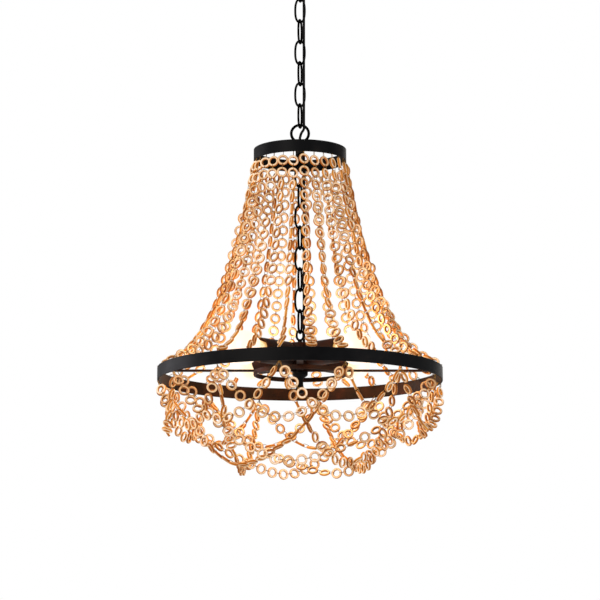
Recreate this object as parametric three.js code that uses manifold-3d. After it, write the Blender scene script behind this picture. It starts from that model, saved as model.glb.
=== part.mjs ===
// Ceiling chandelier: two flat iron hoops joined by strands of flat wooden ring beads,
// a skirt of bead swags under the big hoop, and four lamps on a spoked frame inside.
// Millimetres, +Z up. The origin is on the ceiling, above the middle of the chandelier.

import * as THREE from "three";
import { mergeVertices } from "three/addons/utils/BufferGeometryUtils.js";
import Module from "manifold-3d";

const wasm = await Module();
wasm.setup();

// Clearances.
const seatGap = 0.3; // between two pieces that touch on the real object
const weldDepth = 0.5; // how deep a welded piece runs into the piece it is welded to
const cutOverrun = 2; // how far a cutting tool reaches past the piece it cuts

// Ceiling canopy and the flat bar that it hangs from.
const canopyRadius = 62;
const canopyDepth = 28;
const canopyWall = 1.6;
const canopyFlatRadius = 24; // the flat middle of the dome, where the loop and the cord leave
const canopyShoulderShare = 0.5; // where the dome turns, as a share of its depth
const mountBarEndGap = 8.4; // from each end of the bar to the canopy's rim
const mountBarWidth = 20;
const mountBarThickness = 3;
const mountSlotLength = 14;
const mountSlotWidth = 4.5;
const mountSlotInset = 17; // from each end of the bar to the middle of its slot
const mountSkin = 1; // metal left above the blind hole for the screw loop

// Screw loops: a round eye on a collar with a threaded shank.
const eyeWire = 5;
const eyeRadius = 15.8; // to the middle of the wire
const smallEyeRadius = 8;
const collarRadius = 5.8;
const collarHeight = 12;
const shankRadius = 5;
const shankClearance = 0.4;

// Chain links, all alike: ovals of round wire.
const linkWire = 4;
const linkInnerLength = 39.8;
const linkInnerWidth = 13.3;
const linkTurn = 70; // degrees from one link's plane to the next one's
const linkCornerShares = [[1, 0], [0.85, 0.62], [0.4, 1]]; // a quarter of the oval, side to end
const upperLinkCount = 7;

// Supply cord, which runs beside the chain.
const cordDiameter = 4.8;
const cordSide = 7; // how far it runs to the right of the chain
const cordWeave = 5.2; // how far it passes before and behind the links that face the front
const cordWeaveShare = 0.85; // where it is clear of such a link, as a share of the half link
const cordEntry = 14; // how far to the right it enters the canopy
const cordInCanopy = 12; // length that reaches up inside the canopy
const cordHoleClearance = 0.5;

// Crown hoop, the small one at the top.
const crownRadius = 83.7;
const crownHeight = 21.7;
const bandThickness = 3;
const crownLoopStand = 12; // from the crown hoop's top edge to the underside of its eye
const strapWidth = 16;
const strapThickness = 3;
const strapBelowEdge = 6; // from the crown hoop's top edge down to the strap's top face

// Big hoop.
const hoopRadius = 254;
const hoopHeight = 23;
const hoopBelowCrown = 400; // top edge to top edge

// Spoked frame: four flat spokes across the big hoop, with a small hoop under them.
const spokeWidth = 12;
const spokeThickness = 3;
const spokeBelowEdge = 2;
const innerHoopRadius = 83;
const innerHoopHeight = 8;
const spokeBoltRadius = 3.4;
const spokeBoltHeight = 2.2;
const spokeBoltInset = 7;

// Lamp cluster in the middle.
const lampCount = 4;
const hubRadius = 24;
const hubHeight = 47;
const hubFlat = 21; // from the axis to the flats that the sockets stand on
const hubRimHeight = 4;
const lampAxisAboveHoop = 23;
const hubEyeInnerWidth = 8;
const hubEyeHeight = 21;
const hubEyeStemRadius = 4;
const hubEyeStemHeight = 4;
const finialRadius = 14;
const finialNeckRadius = 6;
const finialKnobRadius = 8.5;
const finialDrop = 40;

// Socket cups and bulbs.
const cupRadius = 22;
const cupBackRadius = 13;
const cupWall = 1.6;
const cupMouthFromAxis = 102;
const cupShoulder = 10; // length of the taper behind the straight part
const holderRadius = 17;
const holderLength = 63.7;
const holderBoreRadius = 14.4;
const holderBoreDepth = 27;
const bulbCapRadius = 13.2;
const bulbCapLength = 25;
const bulbGlassRadius = 30;
const bulbLength = 110;
const bulbContactRadius = 5;

// Bead strands. Each bead is a flat wooden ring, joined to the next by a wire ring.
const beadWidth = 19.6;
const beadThickness = 4.6;
const beadLinkGap = 3.85; // length of wire that shows between two beads
const beadTurn = 22; // degrees that the strands' beads are turned, to pass their neighbours
const beadSideGap = 0.2; // least gap between the strands under the crown, seen from outside
const wireRadius = 1.5;
const strandSlackShare = 0.04; // how much longer a strand is than the straight line
const hookWireLength = 5.4; // the shortest wire between the big hoop and a swag's first bead
const anchorAngle = -8.1; // degrees from the front to the nearest strand

// Skirt of swags under the big hoop.
const swagSag = 90;
const swagBow = 8.5; // the two garlands bow outwards and inwards by this, to pass each other
const swagSpanCount = 2; // anchors that one swag of a garland bridges
const deepSag = 150;
const deepSpanCount = 5;
const deepLift = 10; // the long swags cross, and one rests on the other by this
const deepLiftRun = 45; // distance along the chord over which the lift comes in
const deepHookRise = 4.8; // how far above the hoop's lower edge they start, on its inside
const deepHookDrop = 2.4; // how far under a garland's hook they end

// Facet counts.
const hoopSides = 42;
const crownSides = 28;
const innerHoopSides = 20;
const domeSides = 20;
const turnedSides = 10;
const cupSides = 12;
const bulbSides = 12;
const wireSides = 6;
const innerWireSides = 4;
const eyeSides = 16;
const smallEyeEndPoints = 4;
const cordSides = 8;
const cordStepDiameters = 3;
const solveSteps = 60;

// Heights, worked out from the ceiling down.
const linkHalf = linkInnerLength / 2 + linkWire / 2; // to the middle of the end wire
const linkHalfWidth = linkInnerWidth / 2 + linkWire / 2;
const linkPitch = linkInnerLength - seatGap;
const linkTurnRadians = THREE.MathUtils.degToRad(linkTurn);
const eyeToLink = eyeWire / 2 + linkWire / 2 + seatGap;
const canopyLoopZ = -canopyDepth - seatGap - collarHeight - eyeRadius - eyeWire / 2 + weldDepth;
const firstLinkZ = canopyLoopZ - eyeRadius + eyeToLink - linkHalf;
const lastLinkZ = firstLinkZ - (upperLinkCount - 1) * linkPitch;
const crownLoopZ = lastLinkZ - linkHalf + eyeToLink - eyeRadius;
const crownTopZ = crownLoopZ - eyeRadius - eyeWire / 2 - crownLoopStand;
const crownBottomZ = crownTopZ - crownHeight;
const strapTopZ = crownTopZ - strapBelowEdge;
const strapBottomZ = strapTopZ - strapThickness;
const hoopTopZ = crownTopZ - hoopBelowCrown;
const hoopBottomZ = hoopTopZ - hoopHeight;
const spokeTopZ = hoopTopZ - spokeBelowEdge;
const spokeBottomZ = spokeTopZ - spokeThickness;
const hubBottomZ = spokeTopZ + seatGap;
const hubTopZ = hubBottomZ + hubHeight;
const lampZ = hoopTopZ + lampAxisAboveHoop;
const underNutHeight = 4;
const underLoopZ = strapBottomZ - seatGap - underNutHeight - smallEyeRadius - eyeWire / 2 + weldDepth;

// The inner chain reaches from the strap's eye to the cluster's. Whole links fill it, so
// its links are as long as the upper ones to within a small part of one link.
const hubEyeTopZ = hubTopZ + seatGap + hubEyeStemHeight + hubEyeHeight;
const innerChainTopZ = underLoopZ - smallEyeRadius + eyeToLink; // middle of the end wire
const innerChainFootZ = hubEyeTopZ - linkWire * 1.5 - seatGap;
const innerChainReach = innerChainTopZ - innerChainFootZ - linkWire + seatGap;
const innerLinkCount = Math.round(innerChainReach / (linkInnerLength + seatGap));
const innerPitch = innerChainReach / innerLinkCount;
const innerLinkHalf = (innerPitch + linkWire - seatGap) / 2;
const innerFirstZ = innerChainTopZ - innerLinkHalf;

// Materials.
const iron = new THREE.MeshStandardMaterial({ color: 0x1d1b1b, roughness: 0.62, metalness: 0.75 });
const wood = new THREE.MeshStandardMaterial({ color: 0xd8b58c, roughness: 0.72, metalness: 0 });
const cordBlack = new THREE.MeshStandardMaterial({ color: 0x131313, roughness: 0.6, metalness: 0 });
const bulbGlass = new THREE.MeshStandardMaterial({ color: 0xfff0cf, roughness: 0.12, metalness: 0 });

const chandelier = new THREE.Group();

function addPiece(name, geometry, material, parent = chandelier) {
  const mesh = new THREE.Mesh(geometry, material);
  mesh.name = name;
  parent.add(mesh);
  return mesh;
}

// A group that is moved, and turned about the vertical, before pieces go into it.
function place(x, y, z, turn = 0) {
  const holder = new THREE.Group();
  holder.position.set(x, y, z);
  holder.rotation.z = turn;
  chandelier.add(holder);
  return holder;
}

function toSolid(geometry) {
  const bare = geometry.clone();
  bare.deleteAttribute("normal");
  bare.deleteAttribute("uv");
  const merged = mergeVertices(bare);
  return new wasm.Manifold(new wasm.Mesh({
    numProp: 3,
    vertProperties: new Float32Array(merged.attributes.position.array),
    triVerts: new Uint32Array(merged.index.array),
  }));
}

function toGeometry(solid) {
  const mesh = solid.getMesh();
  const geometry = new THREE.BufferGeometry();
  geometry.setAttribute("position", new THREE.BufferAttribute(new Float32Array(mesh.vertProperties), 3));
  geometry.setIndex(new THREE.BufferAttribute(new Uint32Array(mesh.triVerts), 1));
  geometry.computeVertexNormals();
  return geometry;
}

function join(geometries) {
  const solids = geometries.map(toSolid);
  return toGeometry(solids.slice(1).reduce((whole, next) => whole.add(next), solids[0]));
}

function cut(geometry, tools) {
  return toGeometry(tools.map(toSolid).reduce((rest, tool) => rest.subtract(tool), toSolid(geometry)));
}

// A turned piece. The profile is a list of [radius, height] and the axis is +Z.
function turned(profile, sides) {
  const points = profile.map(([radius, height]) => new THREE.Vector2(radius, height));
  return new THREE.LatheGeometry(points, sides).rotateX(Math.PI / 2);
}

// A band or tube between two radii and two heights.
function band(inner, outer, bottom, top, sides) {
  return turned([[inner, bottom], [outer, bottom], [outer, top], [inner, top], [inner, bottom]], sides);
}

function rod(radius, bottom, top, sides) {
  return turned([[0, bottom], [radius, bottom], [radius, top], [0, top]], sides);
}

function block(width, depth, height, x, y, z) {
  return new THREE.BoxGeometry(width, depth, height).translate(x, y, z);
}

// A closed body from rings of points, all of one count. The last ring meets the first
// one where the body closes on itself, and otherwise both ends are capped.
function sweptBody(rings, closed) {
  const around = rings[0].length;
  const positions = rings.flat().flatMap((point) => [point.x, point.y, point.z]);
  const triangles = [];
  const last = closed ? rings.length : rings.length - 1;
  for (let step = 0; step < last; step += 1) {
    const here = step * around;
    const next = ((step + 1) % rings.length) * around;
    for (let side = 0; side < around; side += 1) {
      const other = (side + 1) % around;
      triangles.push(here + side, here + other, next + other);
      triangles.push(here + side, next + other, next + side);
    }
  }
  if (!closed) {
    const end = (rings.length - 1) * around;
    for (let side = 1; side < around - 1; side += 1) {
      triangles.push(0, side + 1, side);
      triangles.push(end, end + side, end + side + 1);
    }
  }
  const geometry = new THREE.BufferGeometry();
  geometry.setAttribute("position", new THREE.Float32BufferAttribute(positions, 3));
  geometry.setIndex(triangles);
  geometry.computeVertexNormals();
  return geometry;
}

// The corners of a loop with round ends, in the XZ plane. Its ends are half circles
// drawn as straight stretches that touch the true circle from outside.
function roundEnds(halfWidth, halfLength, endPoints) {
  const straight = halfLength - halfWidth;
  const cornerRadius = halfWidth / Math.cos(Math.PI / endPoints / 2);
  const path = [];
  for (let end = 0; end < 2; end += 1) {
    for (let corner = 0; corner < endPoints; corner += 1) {
      const angle = Math.PI * (end + (corner + 0.5) / endPoints);
      const shift = end === 0 ? straight : -straight;
      path.push(new THREE.Vector3(
        cornerRadius * Math.cos(angle), 0, cornerRadius * Math.sin(angle) + shift));
    }
  }
  return path;
}

// The corners of an oval chain link, in the XZ plane.
function ovalLink(halfLength) {
  const rising = linkCornerShares;
  const falling = linkCornerShares.slice(1).reverse();
  const upper = [...rising, ...falling.map(([wide, long]) => [-wide, long])];
  const lower = [[-1, 0], ...upper.slice(1).reverse().map(([wide, long]) => [wide, -long])];
  return [...upper, ...lower].map(([wide, long]) =>
    new THREE.Vector3(linkHalfWidth * wide, 0, halfLength * long));
}

// A closed loop of round wire through the corners of a path in the XZ plane.
function wireLoop(path, wire, sides) {
  const across = new THREE.Vector3(0, 1, 0);
  const rings = path.map((point, index) => {
    const before = path[(index + path.length - 1) % path.length];
    const after = path[(index + 1) % path.length];
    const arriving = point.clone().sub(before).normalize();
    const leaving = after.clone().sub(point).normalize();
    const along = arriving.clone().add(leaving).normalize();
    const outwards = new THREE.Vector3().crossVectors(along, across);
    const mitre = 1 / along.dot(arriving);
    return Array.from({ length: sides }, (_, side) => {
      const angle = 2 * Math.PI * side / sides;
      return point.clone()
        .addScaledVector(outwards, Math.cos(angle) * mitre * wire / 2)
        .addScaledVector(across, -Math.sin(angle) * wire / 2);
    });
  });
  return sweptBody(rings, true);
}

// Ceiling bar: the flat strap that screws to the ceiling box, with a slot near each end.
function mountingBar() {
  const halfLength = canopyRadius - canopyWall - mountBarEndGap;
  const plate = block(2 * halfLength, mountBarWidth, mountBarThickness, 0, 0, -mountBarThickness / 2);
  const tall = mountBarThickness + cutOverrun;
  const slots = [mountSlotInset - halfLength, halfLength - mountSlotInset].map((x) =>
    block(mountSlotLength, mountSlotWidth, tall, x, 0, -mountBarThickness / 2));
  const bore = rod(shankRadius + shankClearance, -tall, -mountSkin, turnedSides);
  return cut(plate, [...slots, bore]);
}

// Canopy: a pressed dome, open towards the ceiling, with holes for the loop and the cord.
function canopy() {
  const shoulder = canopyDepth * canopyShoulderShare;
  const inside = canopyRadius - canopyWall;
  const shell = turned([
    [0, -canopyDepth], [canopyFlatRadius, -canopyDepth],
    [canopyRadius - canopyWall * 4, -shoulder], [canopyRadius, 0],
    [inside, 0], [inside - canopyWall * 4, -shoulder + canopyWall],
    [canopyFlatRadius - canopyWall, -canopyDepth + canopyWall], [0, -canopyDepth + canopyWall],
  ], domeSides);
  const loopHole = rod(shankRadius + shankClearance,
    -canopyDepth - cutOverrun, -canopyDepth + canopyWall + cutOverrun, turnedSides);
  const cordHole = rod(cordDiameter / 2 + cordHoleClearance,
    -canopyDepth - cutOverrun, -canopyDepth + canopyWall + cutOverrun, turnedSides)
    .translate(cordEntry, -cordWeave, 0);
  return cut(shell, [loopHole, cordHole]);
}

// Screw loop: an eye under a collar, with the shank that the ceiling bar holds.
function canopyLoop() {
  const eye = new THREE.TorusGeometry(eyeRadius, eyeWire / 2, wireSides, eyeSides)
    .rotateX(Math.PI / 2).translate(0, 0, canopyLoopZ);
  const collarBottom = -canopyDepth - seatGap - collarHeight - weldDepth;
  const stem = turned([
    [0, collarBottom], [collarRadius, collarBottom],
    [collarRadius, -canopyDepth - seatGap], [shankRadius, -canopyDepth - seatGap],
    [shankRadius, -mountSkin - seatGap], [0, -mountSkin - seatGap],
  ], turnedSides);
  return join([eye, stem]);
}

// The eye on the crown strap: its collar stands on the strap and its shank goes through it.
function crownLoop() {
  const eye = new THREE.TorusGeometry(eyeRadius, eyeWire / 2, wireSides, eyeSides)
    .rotateX(Math.PI / 2).translate(0, 0, crownLoopZ);
  const collarTop = crownLoopZ - eyeRadius - eyeWire / 2 + weldDepth * 2;
  const stem = turned([
    [0, strapBottomZ], [shankRadius, strapBottomZ], [shankRadius, strapTopZ + seatGap],
    [collarRadius, strapTopZ + seatGap], [collarRadius, collarTop], [0, collarTop],
  ], turnedSides);
  return join([eye, stem]);
}

// The small eye under the strap, turned edge-on, which carries the inner chain.
function underLoop() {
  const ring = roundEnds(smallEyeRadius, smallEyeRadius, smallEyeEndPoints);
  const eye = wireLoop(ring, eyeWire, innerWireSides)
    .rotateZ(Math.PI / 2).translate(0, 0, underLoopZ);
  const nutTop = strapBottomZ - seatGap;
  const nut = rod(collarRadius, nutTop - underNutHeight, nutTop, turnedSides);
  return join([eye, nut]);
}

function upperChain() {
  for (let index = 0; index < upperLinkCount; index += 1) {
    const turn = index % 2 === 0 ? linkTurnRadians : 0;
    const holder = place(0, 0, firstLinkZ - index * linkPitch, turn);
    addPiece(`chain_link_${index + 1}`, wireLoop(ovalLink(linkHalf), linkWire, wireSides), iron, holder);
  }
}

// The chain inside the cage hangs taut and still, so its links are one body.
function innerChain() {
  const links = [];
  for (let index = 0; index < innerLinkCount; index += 1) {
    const link = wireLoop(ovalLink(innerLinkHalf), linkWire, innerWireSides);
    const turn = index % 2 === 0 ? 0 : linkTurnRadians;
    links.push(link.rotateZ(turn).translate(0, 0, innerFirstZ - index * innerPitch));
  }
  return join(links);
}

// A cord through chosen points, with flat ends.
function cord(points) {
  const route = new THREE.CatmullRomCurve3(points.map(([x, y, z]) => new THREE.Vector3(x, y, z)),
    false, "centripetal");
  const section = new THREE.Shape();
  for (let side = 0; side < cordSides; side += 1) {
    const angle = 2 * Math.PI * side / cordSides;
    const x = Math.cos(angle) * cordDiameter / 2;
    const y = Math.sin(angle) * cordDiameter / 2;
    if (side === 0) section.moveTo(x, y);
    else section.lineTo(x, y);
  }
  const steps = Math.ceil(route.getLength() / (cordDiameter * cordStepDiameters));
  return new THREE.ExtrudeGeometry(section, { steps, bevelEnabled: false, extrudePath: route });
}

// The points where a cord passes the links, in front of one that faces it and behind
// the next such link. It runs straight past the links that stand nearly edge-on.
function weave(topLinkZ, pitch, half, count, firstFacing) {
  const points = [];
  for (let number = firstFacing; number <= count; number += 2) {
    const side = (number - firstFacing) % 4 === 0 ? -cordWeave : cordWeave;
    const middle = topLinkZ - (number - 1) * pitch;
    points.push([cordSide, side, middle + half * cordWeaveShare]);
    points.push([cordSide, side, middle - half * cordWeaveShare]);
  }
  return points;
}

// From the canopy down beside the upper chain and into the eye on the crown strap.
function supplyCord() {
  return cord([
    [cordEntry, -cordWeave, -canopyDepth + cordInCanopy],
    [cordEntry, -cordWeave, -canopyDepth - seatGap],
    [cordSide, -cordWeave, canopyLoopZ],
    [cordSide, -cordWeave, canopyLoopZ - eyeRadius - eyeWire],
    ...weave(firstLinkZ, linkPitch, linkHalf, upperLinkCount, 2),
    [cordSide, -cordWeave, crownLoopZ + eyeRadius + eyeWire],
    [cordSide, -cordWeave, crownLoopZ + eyeRadius / 2],
    [cordSide / 3, -cordWeave / 3, crownLoopZ],
    [0, 0, crownLoopZ - eyeRadius / 2],
    [0, 0, crownLoopZ - eyeRadius + eyeWire / 2 + cordDiameter / 4],
  ]);
}

// From the strap down the inner chain to the top of the lamp cluster.
function innerCord() {
  return cord([
    [cordSide, -cordWeave, strapBottomZ - seatGap],
    [cordSide, -cordWeave, underLoopZ],
    ...weave(innerFirstZ, innerPitch, innerLinkHalf, innerLinkCount, 1),
    [cordSide, -cordWeave, hubEyeTopZ],
    [cordSide, -cordWeave, hubTopZ + seatGap],
  ]);
}

// Crown hoop with the strap that is welded across it, front to back.
function crownHoop() {
  const hoop = band(crownRadius - bandThickness, crownRadius, crownBottomZ, crownTopZ, crownSides);
  const strap = block(strapWidth, 2 * (crownRadius - bandThickness) + weldDepth, strapThickness,
    0, 0, (strapTopZ + strapBottomZ) / 2);
  const loopHole = rod(shankRadius + shankClearance,
    strapBottomZ - cutOverrun, strapTopZ + cutOverrun, turnedSides);
  return cut(join([hoop, strap]), [loopHole]);
}

function bigHoop() {
  return band(hoopRadius - bandThickness, hoopRadius, hoopBottomZ, hoopTopZ, hoopSides);
}

// Four flat spokes in a cross, the small hoop welded under them, and a bolt near each end.
function spider() {
  const reach = (hoopRadius - bandThickness) * Math.cos(Math.PI / hoopSides) - seatGap;
  const middle = (spokeTopZ + spokeBottomZ) / 2;
  const parts = [
    block(2 * reach, spokeWidth, spokeThickness, 0, 0, middle),
    block(spokeWidth, 2 * reach, spokeThickness, 0, 0, middle),
    band(innerHoopRadius - bandThickness, innerHoopRadius,
      spokeBottomZ + weldDepth - innerHoopHeight, spokeBottomZ + weldDepth, innerHoopSides),
  ];
  for (let index = 0; index < 4; index += 1) {
    const bolt = rod(spokeBoltRadius, spokeBottomZ - spokeBoltHeight, spokeBottomZ + weldDepth, wireSides);
    parts.push(bolt.translate(reach - spokeBoltInset, 0, 0).rotateZ(index * Math.PI / 2));
  }
  return join(parts);
}

// The lamp cluster's body: a round box with a flat where each socket stands.
function hub() {
  const body = turned([
    [0, hubBottomZ], [hubRadius - hubRimHeight, hubBottomZ], [hubRadius, hubBottomZ + hubRimHeight],
    [hubRadius, hubTopZ - hubRimHeight], [hubRadius - hubRimHeight, hubTopZ], [0, hubTopZ],
  ], turnedSides * 2);
  const tools = [];
  for (let index = 0; index < lampCount; index += 1) {
    const flat = block(hubRadius, 2 * hubRadius, 2 * hubHeight, hubFlat + hubRadius / 2, 0, lampZ);
    tools.push(flat.rotateZ(lampTurn(index)));
  }
  return cut(body, tools);
}

function lampTurn(index) {
  return Math.PI / lampCount + index * 2 * Math.PI / lampCount;
}

// The eye on top of the cluster, which the inner chain's last link holds.
function hubLoop() {
  const halfWidth = hubEyeInnerWidth / 2 + linkWire / 2;
  const halfLength = (hubEyeHeight - linkWire) / 2;
  const ring = roundEnds(halfWidth, halfLength, smallEyeEndPoints);
  const eye = wireLoop(ring, linkWire, wireSides).translate(0, 0, hubEyeTopZ - hubEyeHeight / 2);
  const stemTop = hubEyeTopZ - hubEyeHeight + linkWire / 2;
  const stem = rod(hubEyeStemRadius, hubTopZ + seatGap, stemTop, turnedSides);
  return join([eye, stem]).rotateZ(innerLinkCount % 2 * Math.PI / 2);
}

// The turned nut and knob that clamp the spokes to the cluster from below.
function finial() {
  const top = spokeBottomZ - seatGap;
  const bottom = top - finialDrop;
  return turned([
    [0, bottom], [finialNeckRadius, bottom], [finialKnobRadius, bottom + finialNeckRadius],
    [finialNeckRadius, bottom + finialNeckRadius + finialKnobRadius],
    [finialNeckRadius, top - finialRadius], [finialRadius, top - finialRadius / 2],
    [finialRadius, top], [0, top],
  ], turnedSides);
}

// Socket cup: a thin round cup that opens outwards, with the lamp holder inside it.
// The profile runs along +Z, which later lies along the lamp's own direction.
function socketCup() {
  const back = hubFlat + seatGap;
  const inside = cupRadius - cupWall;
  const holderEnd = back + holderLength;
  return turned([
    [0, back], [cupBackRadius, back], [cupRadius, back + cupShoulder], [cupRadius, cupMouthFromAxis],
    [inside, cupMouthFromAxis], [inside, back + cupShoulder],
    [holderRadius, back + cupShoulder - cupWall], [holderRadius, holderEnd],
    [holderBoreRadius, holderEnd], [holderBoreRadius, holderEnd - holderBoreDepth],
    [0, holderEnd - holderBoreDepth],
  ], cupSides);
}

// Bulb: a screw cap, a neck and a round glass.
function bulb() {
  const start = hubFlat + seatGap + holderLength - holderBoreDepth + seatGap;
  const capEnd = start + bulbCapLength;
  const tip = start + bulbLength;
  const belly = tip - bulbGlassRadius;
  const slant = bulbGlassRadius * Math.SQRT1_2; // across and along at the sphere's 45 degree points
  return turned([
    [0, start], [bulbContactRadius, start], [bulbCapRadius, start + bulbContactRadius],
    [bulbCapRadius, capEnd], [slant, belly - slant], [bulbGlassRadius, belly],
    [slant, belly + slant], [0, tip],
  ], bulbSides);
}

function lamps() {
  for (let index = 0; index < lampCount; index += 1) {
    const holder = place(0, 0, lampZ, lampTurn(index));
    addPiece(`socket_cup_${index + 1}`, socketCup().rotateY(Math.PI / 2), iron, holder);
    addPiece(`bulb_${index + 1}`, bulb().rotateY(Math.PI / 2), bulbGlass, holder);
  }
}

// Strands and swags.

// The strands stand side by side round the crown, as many as fit, in fours.
const strandRadius = crownRadius - bandThickness / 2;
const strandSpacing = beadWidth * Math.cos(THREE.MathUtils.degToRad(beadTurn)) + beadSideGap;
const strandCount = 4 * Math.floor(2 * Math.PI * strandRadius / (4 * strandSpacing));
const anchorCount = strandCount / 2;
const beadPitch = beadWidth + beadLinkGap;

// Direction from the axis at an angle in degrees from the front, positive to the right.
function outwardsAt(degrees) {
  const angle = THREE.MathUtils.degToRad(degrees);
  return new THREE.Vector3(Math.sin(angle), -Math.cos(angle), 0);
}

function strandDegrees(index) {
  return anchorAngle + index * 360 / strandCount;
}

function anchorDegrees(index) {
  return anchorAngle + index * 360 / anchorCount;
}

// A hanging strand from the crown out to the big hoop: a catenary of a given length.
class StrandCurve extends THREE.Curve {
  constructor(degrees) {
    super();
    this.outwards = outwardsAt(degrees);
    this.top = new THREE.Vector2(strandRadius, crownBottomZ - seatGap);
    this.foot = new THREE.Vector2(hoopRadius - bandThickness / 2, hoopTopZ + seatGap + wireRadius);
    const reach = this.foot.x - this.top.x;
    const drop = this.top.y - this.foot.y;
    const length = Math.hypot(reach, drop) * (1 + strandSlackShare);
    const wanted = Math.sqrt(length * length - drop * drop) / reach;
    let low = 0;
    let high = 1;
    while (Math.sinh(high) / high < wanted) high *= 2;
    for (let step = 0; step < solveSteps; step += 1) {
      const middle = (low + high) / 2;
      if (Math.sinh(middle) / middle < wanted) low = middle;
      else high = middle;
    }
    this.scale = reach / (low + high);
    this.lowest = (this.top.x + this.foot.x) / 2 + this.scale * Math.atanh(drop / length);
    this.level = this.top.y - this.scale * Math.cosh((this.top.x - this.lowest) / this.scale);
  }

  getPoint(share, target = new THREE.Vector3()) {
    const radius = this.top.x + (this.foot.x - this.top.x) * share;
    const height = this.level + this.scale * Math.cosh((radius - this.lowest) / this.scale);
    return target.copy(this.outwards).multiplyScalar(radius).setZ(height);
  }
}

// A swag between two points under the hoop. It sags as a parabola, bows sideways, and
// is lifted on one half and lowered on the other where it crosses its neighbours.
class SwagCurve extends THREE.Curve {
  constructor(start, end, sag, bow, lift) {
    super();
    Object.assign(this, { start, end, sag, bow, lift });
    this.sideways = start.clone().add(end).setZ(0).normalize();
    this.halfChord = start.distanceTo(end) / 2;
  }

  getPoint(share, target = new THREE.Vector3()) {
    const along = 2 * share - 1;
    const open = 1 - along * along;
    const run = THREE.MathUtils.clamp(along * this.halfChord / deepLiftRun, -1, 1);
    target.lerpVectors(this.start, this.end, share);
    target.addScaledVector(this.sideways, this.bow * open);
    target.z += this.lift * run * (1 - along ** 4) - this.sag * open;
    return target;
  }
}

// The three corners of a strand's section, in shares of its width and thickness. A bead
// is widest at its middle and narrows to the wire that joins it to the next one.
function beadRing(point, along, face, halfWidth, thickness) {
  const flat = new THREE.Vector3().crossVectors(along, face).normalize();
  const front = new THREE.Vector3().crossVectors(flat, along).normalize();
  return [
    point.clone().addScaledVector(front, thickness * 2 / 3),
    point.clone().addScaledVector(front, -thickness / 3).addScaledVector(flat, halfWidth),
    point.clone().addScaledVector(front, -thickness / 3).addScaledVector(flat, -halfWidth),
  ];
}

// The rings of one strand or swag. Whole beads fill it, and its end wires take the rest.
function beadRings(curve, face, leastWire) {
  const length = curve.getLength();
  const count = Math.floor((length - 2 * leastWire) / beadPitch);
  const wire = (length - count * beadPitch) / 2;
  const wireThickness = wireRadius * 1.5;
  const at = (distance, halfWidth, thickness) => {
    const share = THREE.MathUtils.clamp(distance / length, 0, 1);
    return beadRing(curve.getPointAt(share), curve.getTangentAt(share), face, halfWidth, thickness);
  };
  const neck = (distance) => at(distance, wireRadius, wireThickness);
  const rings = [neck(0), neck(wire)];
  for (let bead = 0; bead < count; bead += 1) {
    rings.push(at(wire + (bead + 0.5) * beadPitch, beadWidth / 2, beadThickness));
    rings.push(neck(wire + (bead + 1) * beadPitch));
  }
  rings.push(neck(length));
  return rings;
}

function strands() {
  for (let index = 0; index < strandCount; index += 1) {
    const degrees = strandDegrees(index);
    const number = String(index + 1).padStart(2, "0");
    const rings = beadRings(new StrandCurve(degrees), outwardsAt(degrees + beadTurn), seatGap);
    addPiece(`strand_${number}`, sweptBody(rings, false), wood);
  }
}

function anchorPoint(index, inset = 0, rise = 0) {
  return outwardsAt(anchorDegrees(index)).multiplyScalar(hoopRadius - bandThickness / 2 - inset)
    .setZ(hoopBottomZ - seatGap - wireRadius + rise);
}

// One garland goes all round the hoop and is hooked at every second anchor. At each
// hook, one ring in the upright plane joins the swag that comes up to the one that leaves.
function garland(first, bow) {
  const rings = [];
  for (let index = first; index < anchorCount; index += swagSpanCount) {
    const start = anchorPoint(index);
    const end = anchorPoint(index + swagSpanCount);
    const curve = new SwagCurve(start, end, swagSag, bow, 0);
    const swag = beadRings(curve, curve.sideways, hookWireLength);
    const outwards = outwardsAt(anchorDegrees(index));
    const along = new THREE.Vector3(-outwards.y, outwards.x, 0);
    rings.push(beadRing(start, along, outwards, wireRadius, wireRadius * 1.5));
    rings.push(...swag.slice(1, -1));
  }
  return sweptBody(rings, true);
}

// The long swags reach across the hoop to a far anchor. Each starts from the inside of
// the hoop and ends in a hook of the second garland, so the garland carries them.
function longSwags() {
  const swags = [];
  for (let index = 0; index < anchorCount; index += 2) {
    const start = anchorPoint(index, bandThickness / 2 + wireRadius + seatGap, deepHookRise);
    const end = anchorPoint(index + deepSpanCount, 0, -deepHookDrop);
    const curve = new SwagCurve(start, end, deepSag, 0, deepLift);
    swags.push(sweptBody(beadRings(curve, curve.sideways, hookWireLength * 2), false));
  }
  return swags;
}

// The whole chandelier, from the ceiling down.
addPiece("mounting_bar", mountingBar(), iron);
addPiece("canopy", canopy(), iron);
addPiece("canopy_loop", canopyLoop(), iron);
upperChain();
addPiece("supply_cord", supplyCord(), cordBlack);
addPiece("crown_loop", crownLoop(), iron);
addPiece("crown_hoop", crownHoop(), iron);
addPiece("under_loop", underLoop(), iron);
addPiece("inner_chain", innerChain(), iron);
addPiece("inner_cord", innerCord(), cordBlack);
addPiece("hub_loop", hubLoop(), iron);
addPiece("lamp_hub", hub(), iron);
addPiece("finial", finial(), iron);
lamps();
addPiece("spider", spider(), iron);
addPiece("big_hoop", bigHoop(), iron);
strands();
addPiece("garland_outer", garland(0, swagBow), wood);
addPiece("garland_inner", join([garland(1, -swagBow), ...longSwags()]), wood);

export default chandelier;
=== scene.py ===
# %% [markdown]
# # A beaded chandelier
#
# Two flat iron hoops hang on a chain. Strands of flat wooden rings run from the small
# hoop down to the big one, and swags of the same rings hang below it. Four lamps sit
# on a spoked frame inside. The CAD solids give every size and place, and this file
# dresses them: round wire instead of faceted wire, whole rings instead of flat beads.

import math
import random

import bpy
from mathutils import Matrix, Vector


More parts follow.
